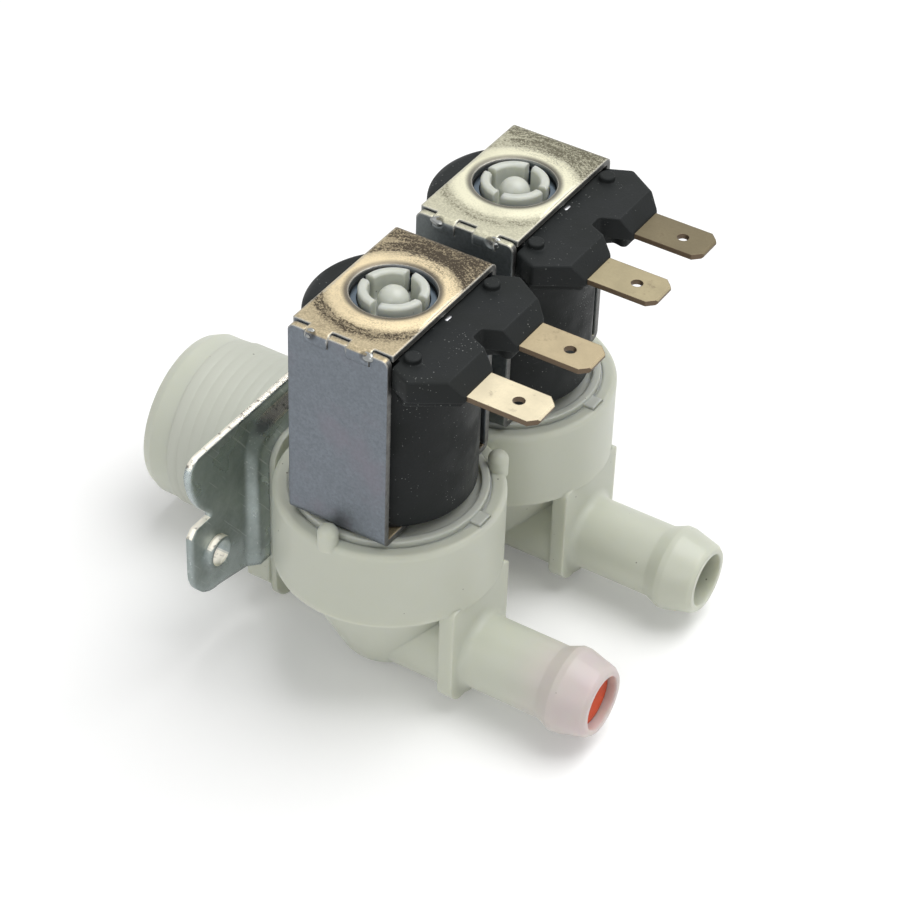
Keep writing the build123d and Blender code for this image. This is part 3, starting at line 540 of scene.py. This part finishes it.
# painted light: a pink glow round the mouth of valve 1's outlet, for light coming through the red
# flow regulator
outlet_mouth = (OUTLET_END, VALVE_AXES[1].y, OUTLET_Z)
red_glow_reach = 0.016
body_nylon = moulded_nylon(
    "valve body nylon",
    rgb(0.595, 0.615, 0.525),
    rgb(0.57, 0.59, 0.50),
    tint_and_painted_light=(outlet_mouth, red_glow_reach, rgb(0.62, 0.525, 0.53)),
)
guide_nylon = moulded_nylon(
    "armature guide nylon", rgb(0.57, 0.59, 0.535), rgb(0.54, 0.56, 0.50), soft=0.8, rough=0.28
)
thread_nylon = moulded_nylon(
    "inlet thread nylon", rgb(0.56, 0.575, 0.50), rgb(0.535, 0.55, 0.48), soft=0.0, rough=0.48
)
overmould = black_overmould("coil overmould")
stake_steel = plain_metal("stake steel", rgb(0.36, 0.37, 0.36), 0.3)
wire_tin = plain_metal("wire end tin", rgb(0.60, 0.60, 0.62), 0.35)
paint("valve_body", body_nylon)
paint("inlet_strainer", guide_nylon)
paint("mounting_bracket", bracket_zinc("bracket zinc"))
paint("flow_regulator", soft_rubber("regulator rubber", rgb(0.62, 0.07, 0.012)))

# Pieces that both valves have, painted alike
sleeve_steel = plain_metal("sleeve steel", rgb(0.15, 0.19, 0.23), 0.22)
black_rubber = soft_rubber("black rubber", rgb(0.02, 0.02, 0.02))
PAIRED = {
    "coil_housing": overmould,
    "coil_bobbin": overmould,
    "coil_winding": plain_metal("winding copper", rgb(0.62, 0.26, 0.12), 0.3),
    "armature_guide": guide_nylon,
    "upper_sleeve": sleeve_steel,
    "lower_sleeve": sleeve_steel,
    "plunger": plain_metal("plunger steel", rgb(0.50, 0.50, 0.52), 0.25),
    "plunger_seal": black_rubber,
    "plunger_spring": plain_metal("spring wire", rgb(0.55, 0.55, 0.55), 0.2),
    "diaphragm": black_rubber,
    "diaphragm_plate": guide_nylon,
}

# Colours that differ from valve to valve: a yoke's faces, its top's light and dark, and the
# strength of its worn marks and of its painted light and shade
YOKE_COLOURS = {
    1: (rgb(0.215, 0.24, 0.27), rgb(0.57, 0.475, 0.305), rgb(0.05, 0.036, 0.02), 1.0),
    2: (rgb(0.20, 0.22, 0.22), rgb(0.63, 0.61, 0.46), rgb(0.12, 0.11, 0.07), 0.45),
}
# face colour of each blade: tarnish, and painted reflection that makes the same tinned brass
# differ in brightness from blade to blade
BLADE_TARNISH_AND_REFLECTION = {
    "terminal_a_1": rgb(0.84, 0.745, 0.53),
    "terminal_b_1": rgb(0.53, 0.435, 0.27),
    "terminal_a_2": rgb(0.442, 0.376, 0.228),
    "terminal_b_2": rgb(0.205, 0.168, 0.095),
}
BLADE_EDGE = rgb(0.13, 0.09, 0.055)

yoke_zinc = {}
for number, axis in VALVE_AXES.items():
    front = YOKE_BOXES[number][0][1]
    dents = [(axis.x + dx, front, YOKE_TOP + dz) for dx, dz in DENT_OFFSETS]
    yoke_zinc[number] = plated_sheet(f"yoke {number} zinc", *YOKE_COLOURS[number], axis, dents)
    paint(f"yoke_{number}", yoke_zinc[number])
    for node, mat in PAIRED.items():
        paint(f"{node}_{number}", mat)
for blade, face in BLADE_TARNISH_AND_REFLECTION.items():
    paint(blade, tinned_blade(f"{blade} tin", face, BLADE_EDGE))


# Pieces that only the dressed model has
def stand(mesh, mat):
    """Object of a finished mesh, smooth and riding on the valve."""
    mesh.polygons.foreach_set("use_smooth", [True] * len(mesh.polygons))
    mesh.materials.append(mat)
    thing = bpy.data.objects.new(mesh.name, mesh)
    bpy.context.collection.objects.link(thing)
    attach(thing, "valve")
    return thing


def piece(name, points, faces, mat):
    """New piece from points and faces."""
    mesh = bpy.data.meshes.new(name)
    mesh.from_pydata(points, [], faces)
    shape = bmesh.new()
    shape.from_mesh(mesh)
    bmesh.ops.recalc_face_normals(shape, faces=shape.faces)
    shape.to_mesh(mesh)
    shape.free()
    return stand(mesh, mat)


def make_inlet_thread():
    """Flat-topped ridges of the inlet's thread, one long helix over the plain pipe."""
    pitch = 1.814
    start_x = -18.2
    turns = 9.0
    steps = 96
    root_radius = 13.05
    run_in = 0.3
    # one ridge: place along the pipe and radius, in millimetres
    profile = [
        (0.000, 13.44), (0.080, 13.47), (0.190, 13.52), (0.340, 13.55),
        (1.480, 13.55), (1.630, 13.52), (1.740, 13.47), (1.814, 13.44),
    ]
    count = round(turns * steps)
    points = []
    for index in range(count + 1):
        turn = index / steps
        angle = turn * 2 * math.pi
        grown = max(0.0, min(1.0, turn / run_in, (turns - turn) / run_in))
        for along, radius in profile:
            r = (root_radius + (radius - root_radius) * grown) * MM
            x = (start_x + turn * pitch + along) * MM
            points.append((x, r * math.cos(angle), r * math.sin(angle)))
    size = len(profile)
    faces = []
    for index in range(count):
        low, high = index * size, (index + 1) * size
        for edge in range(size - 1):
            faces.append((low + edge, low + edge + 1, high + edge + 1, high + edge))
    piece("inlet_thread", points, faces, thread_nylon)


def make_wire_end(number):
    """Small flattened tin end that shows between a yoke and its coil's block."""
    corners = 20
    half_length = 0.32 * MM
    half_width = 0.65 * MM
    levels = [(1.0, -0.10 * MM), (1.0, 0.04 * MM), (0.72, 0.09 * MM)]
    middle = VALVE_AXES[number] + Vector((8.3 * MM, 0.7 * MM, 0.0))
    middle.z = YOKE_TOP - 1.5 * MM
    points = []
    for share, height in levels:
        for corner in range(corners):
            angle = 2 * math.pi * corner / corners
            cosine, sine = math.cos(angle), math.sin(angle)
            along = math.copysign(math.sqrt(abs(cosine)), cosine) * half_length
            across = math.copysign(math.sqrt(abs(sine)), sine) * half_width
            points.append((middle.x + along * share, middle.y + across * share, middle.z + height))
    faces = [tuple(range(corners)), tuple(range(2 * corners, 3 * corners))]
    for level in (0, corners):
        for corner in range(corners):
            after = (corner + 1) % corners
            bottom, top = level, level + corners
            faces.append((bottom + corner, bottom + after, top + after, top + corner))
    piece(f"wire_end_{number}", points, faces, wire_tin)


def turned_ring(name, profile, axis, base_z, mat, closed=False):
    """Ring turned about a valve's axis from (radius, height) points in millimetres."""
    steps = 128
    points = []
    for step in range(steps):
        angle = 2 * math.pi * step / steps
        for radius, height in profile:
            x = axis.x + radius * MM * math.cos(angle)
            y = axis.y + radius * MM * math.sin(angle)
            points.append((x, y, base_z + height * MM))
    size = len(profile)
    faces = []
    for step in range(steps):
        here, after = step * size, (step + 1) % steps * size
        for edge in range(size if closed else size - 1):
            nearby = (edge + 1) % size
            faces.append((here + edge, here + nearby, after + nearby, after + edge))
    return piece(name, points, faces, mat)


def make_hole_lip(number):
    """Rim of the yoke's hole, drawn up a little and rolled over into the hole."""
    side_inset = 0.25 * MM
    wall_depth = 0.05 * MM
    profile = [
        (6.06, -0.80), (6.05, -0.45), (6.08, -0.22), (6.18, -0.06), (6.34, 0.04),
        (6.60, 0.11), (7.00, 0.16), (7.45, 0.17), (7.90, 0.14), (8.40, 0.09),
        (8.90, 0.04), (9.40, 0.005), (9.60, -0.02),
    ]
    mat = yoke_zinc[number]
    lip = turned_ring(f"hole_lip_{number}", profile, VALVE_AXES[number], YOKE_TOP, mat)
    shape = bmesh.new()
    shape.from_mesh(lip.data)
    low, high = YOKE_BOXES[number]
    for side, x in ((-1, low[0]), (1, high[0])):
        found = bmesh.ops.bisect_plane(
            shape,
            geom=shape.verts[:] + shape.edges[:] + shape.faces[:],
            plane_co=(x - side * side_inset, 0, 0),
            plane_no=(side, 0, 0),
            clear_outer=True,
        )
        rim = [item for item in found["geom_cut"] if isinstance(item, bmesh.types.BMEdge)]
        for item in bmesh.ops.extrude_edge_only(shape, edges=rim)["geom"]:
            if isinstance(item, bmesh.types.BMVert):
                item.co.z = YOKE_TOP - wall_depth
    shape.to_mesh(lip.data)
    shape.free()


def make_seat_ring(number):
    """Nylon lip that closes the gap between a coil's guide and its cup."""
    profile = [
        (14.05, 17.2), (14.05, 18.0), (14.2, 18.2), (14.4, 18.28), (14.62, 18.2), (14.7, 17.2),
    ]
    axis = VALVE_AXES[number]
    turned_ring(f"seat_ring_{number}", profile, axis, 0.0, guide_nylon, closed=True)


def make_stakes(number):
    """Metal pushed up round the two punch marks that lock the yoke's fingers."""
    half_sizes = (1.10 * MM, 0.70 * MM, 0.75 * MM)
    inset = 0.66 * MM
    drop = 0.22 * MM
    bumps = 7
    bump_height = 0.16
    pit_depth = 0.42
    pit_way = Vector((0.15, -0.75, 0.6)).normalized()
    axis = VALVE_AXES[number]
    front = YOKE_BOXES[number][0][1]
    chance = random.Random(40 + number)
    for order, (dx, dz) in enumerate(DENT_OFFSETS, start=1):
        shape = bmesh.new()
        bmesh.ops.create_icosphere(shape, subdivisions=4, radius=1.0)
        ways = []
        for _ in range(bumps):
            ways.append(Vector([chance.uniform(-1, 1) for _ in range(3)]).normalized())
        for vertex in shape.verts:
            way = vertex.co.normalized()
            bump = sum(max(0.0, way.dot(other)) ** 6 for other in ways) * bump_height
            pit = max(0.0, way.dot(pit_way)) ** 5 * pit_depth
            swollen = way * (1.0 + bump - pit)
            vertex.co = Vector(half * part for half, part in zip(half_sizes, swollen))
        mesh = bpy.data.meshes.new(f"finger_stake_{number}_{order}")
        shape.to_mesh(mesh)
        shape.free()
        middle = (axis.x + dx, front + inset, YOKE_TOP + dz - drop)
        mesh.transform(Matrix.Translation(middle))
        stand(mesh, stake_steel)


make_inlet_thread()
for number in (1, 2):
    make_wire_end(number)
    make_hole_lip(number)
    make_seat_ring(number)
    make_stakes(number)


# Floor, light and camera
def make_floor():
    """Plain white floor just under the part, a little brighter where it is seen."""
    reach = 3.0
    glow = 0.11
    corners = [(-reach, -reach), (reach, -reach), (reach, reach), (-reach, reach)]
    mesh = bpy.data.meshes.new("floor")
    mesh.from_pydata([(x, y, FLOOR_Z) for x, y in corners], [], [(0, 1, 2, 3)])
    floor = bpy.data.objects.new("floor", mesh)
    bpy.context.collection.objects.link(floor)
    mat, tree, shader, place = new_material("floor white")
    faint = noise(tree, place, 3.0)
    paper = blend(tree, faint, rgb(0.93, 0.93, 0.93), rgb(0.95, 0.95, 0.945))
    tree.links.new(paper, shader["Base Color"])
    shader["Roughness"].default_value = 0.7
    shader["Specular IOR Level"].default_value = 0.1
    ray = put(tree, "ShaderNodeLightPath").outputs
    seen = maths(tree, "MAXIMUM", ray["Is Camera Ray"], ray["Is Glossy Ray"])
    shader["Emission Color"].default_value = rgb(1.0, 1.0, 1.0)
    tree.links.new(times(tree, seen, glow), shader["Emission Strength"])
    mesh.materials.append(mat)


def make_lamp(name, place, width, power, target):
    """Square soft lamp at a place, turned to its target."""
    lamp = bpy.data.lights.new(name, "AREA")
    lamp.shape = "RECTANGLE"
    lamp.size = width
    lamp.size_y = width
    lamp.energy = power
    holder = bpy.data.objects.new(name, lamp)
    bpy.context.collection.objects.link(holder)
    turn = (target - place).to_track_quat("-Z", "Y").to_matrix().to_4x4()
    holder.matrix_world = Matrix.Translation(place) @ turn


def make_world():
    """Even studio light, white where the camera or a reflection sees it."""
    even_light = 0.29
    world = bpy.data.worlds.new("studio")
    world.use_nodes = True
    tree = world.node_tree
    back = tree.nodes["Background"].inputs
    back["Color"].default_value = rgb(1.0, 1.0, 1.0)
    ray = put(tree, "ShaderNodeLightPath").outputs
    seen = maths(tree, "MAXIMUM", ray["Is Camera Ray"], ray["Is Transmission Ray"])
    seen = maths(tree, "MAXIMUM", seen, ray["Is Glossy Ray"])
    tree.links.new(slope(tree, seen, 1.0 - even_light, even_light), back["Strength"])
    bpy.context.scene.world = world


def make_camera():
    """Camera at the photograph's place: turned, raised and rolled as fitted to it."""
    azimuth = math.radians(30.777)
    elevation = math.radians(39.191)
    roll = math.radians(2.079)
    target = Vector((0.036123, -0.019187, 0.0317))
    distance = 0.38855
    level = math.cos(elevation)
    back = Vector((math.sin(azimuth) * level, -math.cos(azimuth) * level, math.sin(elevation)))
    right = Vector((math.cos(azimuth), math.sin(azimuth), 0.0))
    up = back.cross(right)
    turn = Matrix((right, up, back)).transposed().to_4x4() @ Matrix.Rotation(roll, 4, "Z")
    lens = bpy.data.cameras.new("camera")
    lens.sensor_width = 36.0
    lens.lens = 113.96
    lens.clip_start = 0.01
    camera = bpy.data.objects.new("camera", lens)
    bpy.context.collection.objects.link(camera)
    camera.matrix_world = Matrix.Translation(target + back * distance) @ turn
    bpy.context.scene.camera = camera


middle = (Vector(cad_box[0]) + Vector(cad_box[1])) / 2
make_floor()
make_world()
make_lamp("overhead softbox", middle + Vector((0.24, 0.24, 0.94)), 0.9, 9.6, middle)
make_lamp("front fill", middle + Vector((0.05, -0.95, 0.55)), 0.7, 2.7, middle)
make_camera()
bpy.context.scene.view_settings.view_transform = "Standard"
